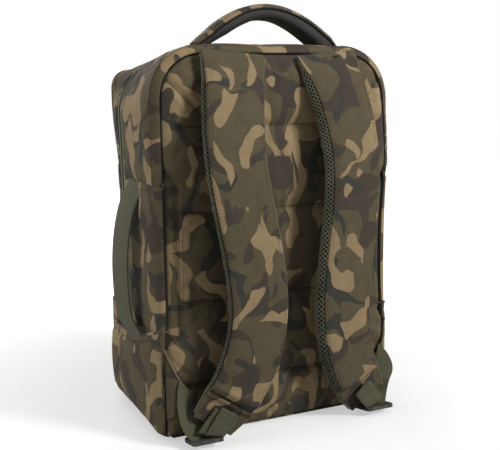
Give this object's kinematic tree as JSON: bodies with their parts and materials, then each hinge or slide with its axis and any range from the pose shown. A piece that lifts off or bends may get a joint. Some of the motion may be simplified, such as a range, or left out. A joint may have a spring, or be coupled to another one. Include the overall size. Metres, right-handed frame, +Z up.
{
  "type": "tackle backpack",
  "caption": "Tall padded fabric backpack with zipped fold-down front, side pockets, carry handles and contoured shoulder straps with ladder-lock adjusters.",
  "frame": {"origin": "middle of the base, on the surface that the bag stands on", "axes": "+Z up, +Y out of the padded back panel towards the wearer, -Y out of the zipped front; +X is the wearer's right"},
  "size_m": [0.3879, 0.3351, 0.568],
  "materials": {
    "camo_fabric": "woven polyester, woodland camouflage print",
    "spacer_mesh": "speckled air mesh",
    "foam": "closed-cell foam",
    "webbing": "woven polypropylene webbing",
    "zip_tape": "woven zip tape",
    "zip_coil": "nylon coil",
    "slider_metal": "black enamelled zinc",
    "pull_tab": "moulded matt tab",
    "buckle_plastic": "matt moulded acetal",
    "stiffener": "polyethylene sheet",
    "piping": "bound seam tape",
    "grip_fabric": "smooth dark lining cloth over foam"
  },
  "bodies": {
    "bag": {"adjuster_left": "webbing", "adjuster_right": "webbing", "back_foam": "foam", "back_panel": "camo_fabric", "base_board": "stiffener", "base_panel": "camo_fabric", "frame_sheet": "stiffener", "handle_patch_left": "webbing", "handle_patch_right": "webbing", "lower_front_panel": "camo_fabric", "rear_piping": "piping", "side_handle_end_lower": "webbing", "side_handle_end_upper": "webbing", "side_panel_left": "camo_fabric", "side_panel_right": "camo_fabric", "side_pocket_left": "camo_fabric", "side_pocket_right": "camo_fabric", "strap_wing_left": "camo_fabric", "strap_wing_right": "camo_fabric", "top_gusset": "camo_fabric", "zip_coil_body": "zip_coil", "zip_tape_body": "zip_tape"},
    "lid": {"lid_gusset": "camo_fabric", "lid_front_panel": "camo_fabric", "front_pocket": "camo_fabric", "pocket_zip_tape": "zip_tape", "zip_tape_lid": "zip_tape", "zip_coil_lid": "zip_coil"},
    "strap_right": {"strap_mesh_right": "spacer_mesh", "strap_foam_right": "foam", "strap_face_right": "camo_fabric", "strap_patch_right": "webbing"},
    "strap_left": {"strap_mesh_left": "spacer_mesh", "strap_foam_left": "foam", "strap_face_left": "camo_fabric", "strap_patch_left": "webbing"},
    "lock_right": {"ladder_lock_right": "buckle_plastic"},
    "lock_left": {"ladder_lock_left": "buckle_plastic"},
    "top_handle": {"top_handle_grip": "grip_fabric", "top_handle_cover": "camo_fabric"},
    "side_handle": {"side_handle_webbing": "webbing"},
    "slider_right": {"zip_slider_right": "slider_metal"},
    "slider_left": {"zip_slider_left": "slider_metal"},
    "pull_right": {"zip_pull_right": "pull_tab"},
    "pull_left": {"zip_pull_left": "pull_tab"},
    "organiser_slider": {"pocket_slider": "slider_metal"},
    "organiser_pull": {"pocket_pull": "pull_tab"}
  },
  "joints": [
    {"name": "lid_hinge", "type": "hinge", "parent": "bag", "child": "lid", "pos_m": [0, -0.106, 0.1505], "axis": [1, 0, 0], "range_deg": [0, 85]},
    {"name": "strap_right_hinge", "type": "hinge", "parent": "bag", "child": "strap_right", "pos_m": [0.069, 0.137, 0.5015], "axis": [1, 0, 0], "range_deg": [0, 30]},
    {"name": "strap_left_hinge", "type": "hinge", "parent": "bag", "child": "strap_left", "pos_m": [-0.069, 0.137, 0.5015], "axis": [1, 0, 0], "range_deg": [0, 30]},
    {"name": "lock_right_hinge", "type": "hinge", "parent": "strap_right", "child": "lock_right", "pos_m": [0.131, 0.1753, 0.0104], "axis": [1, 0, 0], "range_deg": [-12, 12]},
    {"name": "lock_left_hinge", "type": "hinge", "parent": "strap_left", "child": "lock_left", "pos_m": [-0.131, 0.1753, 0.0104], "axis": [1, 0, 0], "range_deg": [-12, 12]},
    {"name": "top_handle_hinge", "type": "hinge", "parent": "bag", "child": "top_handle", "pos_m": [0, 0.082, 0.516], "axis": [1, 0, 0], "range_deg": [-55, 55], "stiffness_Nm_per_rad": 0.6},
    {"name": "side_handle_hinge", "type": "hinge", "parent": "bag", "child": "side_handle", "pos_m": [0.177, 0.045, 0.227], "axis": [0, 0, 1], "range_deg": [-15, 15]},
    {"name": "slider_right_slide", "type": "slide", "parent": "bag", "child": "slider_right", "axis": [1, 0, 0], "range_m": [0, 0.055]},
    {"name": "slider_left_slide", "type": "slide", "parent": "bag", "child": "slider_left", "axis": [-1, 0, 0], "range_m": [0, 0.055]},
    {"name": "pull_right_hinge", "type": "hinge", "parent": "slider_right", "child": "pull_right", "pos_m": [0.0205, -0.02, 0.5169], "axis": [0, -1, 0], "range_deg": [0, 90]},
    {"name": "pull_left_hinge", "type": "hinge", "parent": "slider_left", "child": "pull_left", "pos_m": [-0.0205, -0.02, 0.5169], "axis": [0, 1, 0], "range_deg": [0, 90]},
    {"name": "organiser_slide", "type": "slide", "parent": "lid", "child": "organiser_slider", "axis": [-1, 0, 0], "range_m": [0, 0.168]},
    {"name": "organiser_pull_hinge", "type": "hinge", "parent": "organiser_slider", "child": "organiser_pull", "pos_m": [0.084, -0.1442, 0.391], "axis": [-1, 0, 0], "range_deg": [0, 80]}
  ]
}
